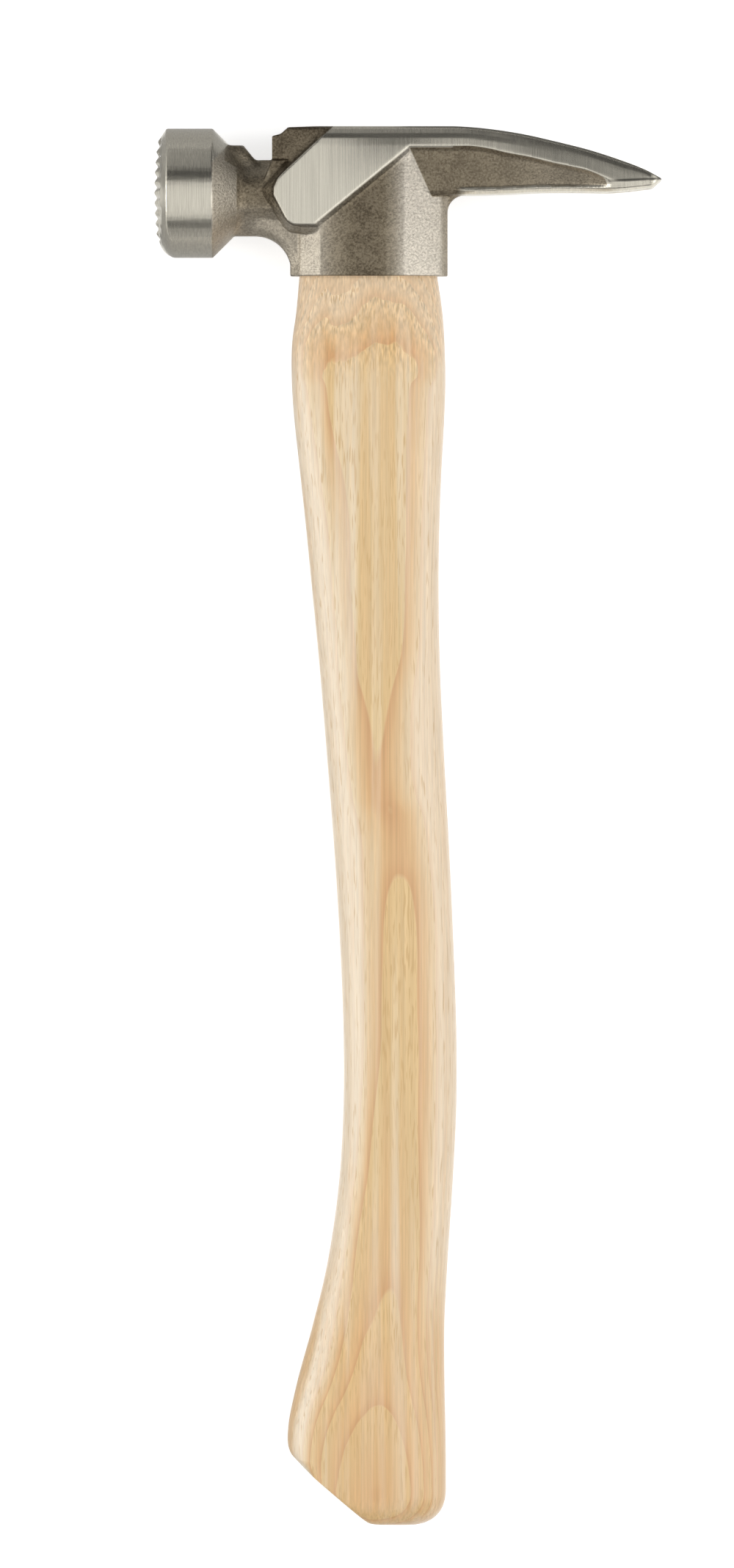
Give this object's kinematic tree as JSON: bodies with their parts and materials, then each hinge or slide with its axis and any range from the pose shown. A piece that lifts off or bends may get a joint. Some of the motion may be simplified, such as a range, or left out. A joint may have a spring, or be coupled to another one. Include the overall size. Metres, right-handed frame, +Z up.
{
  "type": "framing hammer",
  "caption": "Framing hammer with a milled striking face, a straight rip claw, a magnetic nail-setting groove and a curved, wedged hickory handle.",
  "frame": {"origin": "under the middle of the hammer's box, on the ground it lies on", "axes": "the hammer lies on its side: +X along the head towards the claw, +Y up the handle towards the head, +Z up, across the head"},
  "size_m": [0.1474, 0.406, 0.0378],
  "materials": {
    "head_steel": "shot-blasted forging with brushed bright faces",
    "hickory": "satin lacquer",
    "wedge_wood": "sawn end grain",
    "wedge_steel": "stamped, dull",
    "magnet": "nickel plated"
  },
  "bodies": {
    "root": {"head": "head_steel", "handle": "hickory", "wood_wedge": "wedge_wood", "steel_wedge_front": "wedge_steel", "steel_wedge_rear": "wedge_steel", "nail_magnet": "magnet"}
  },
  "joints": []
}
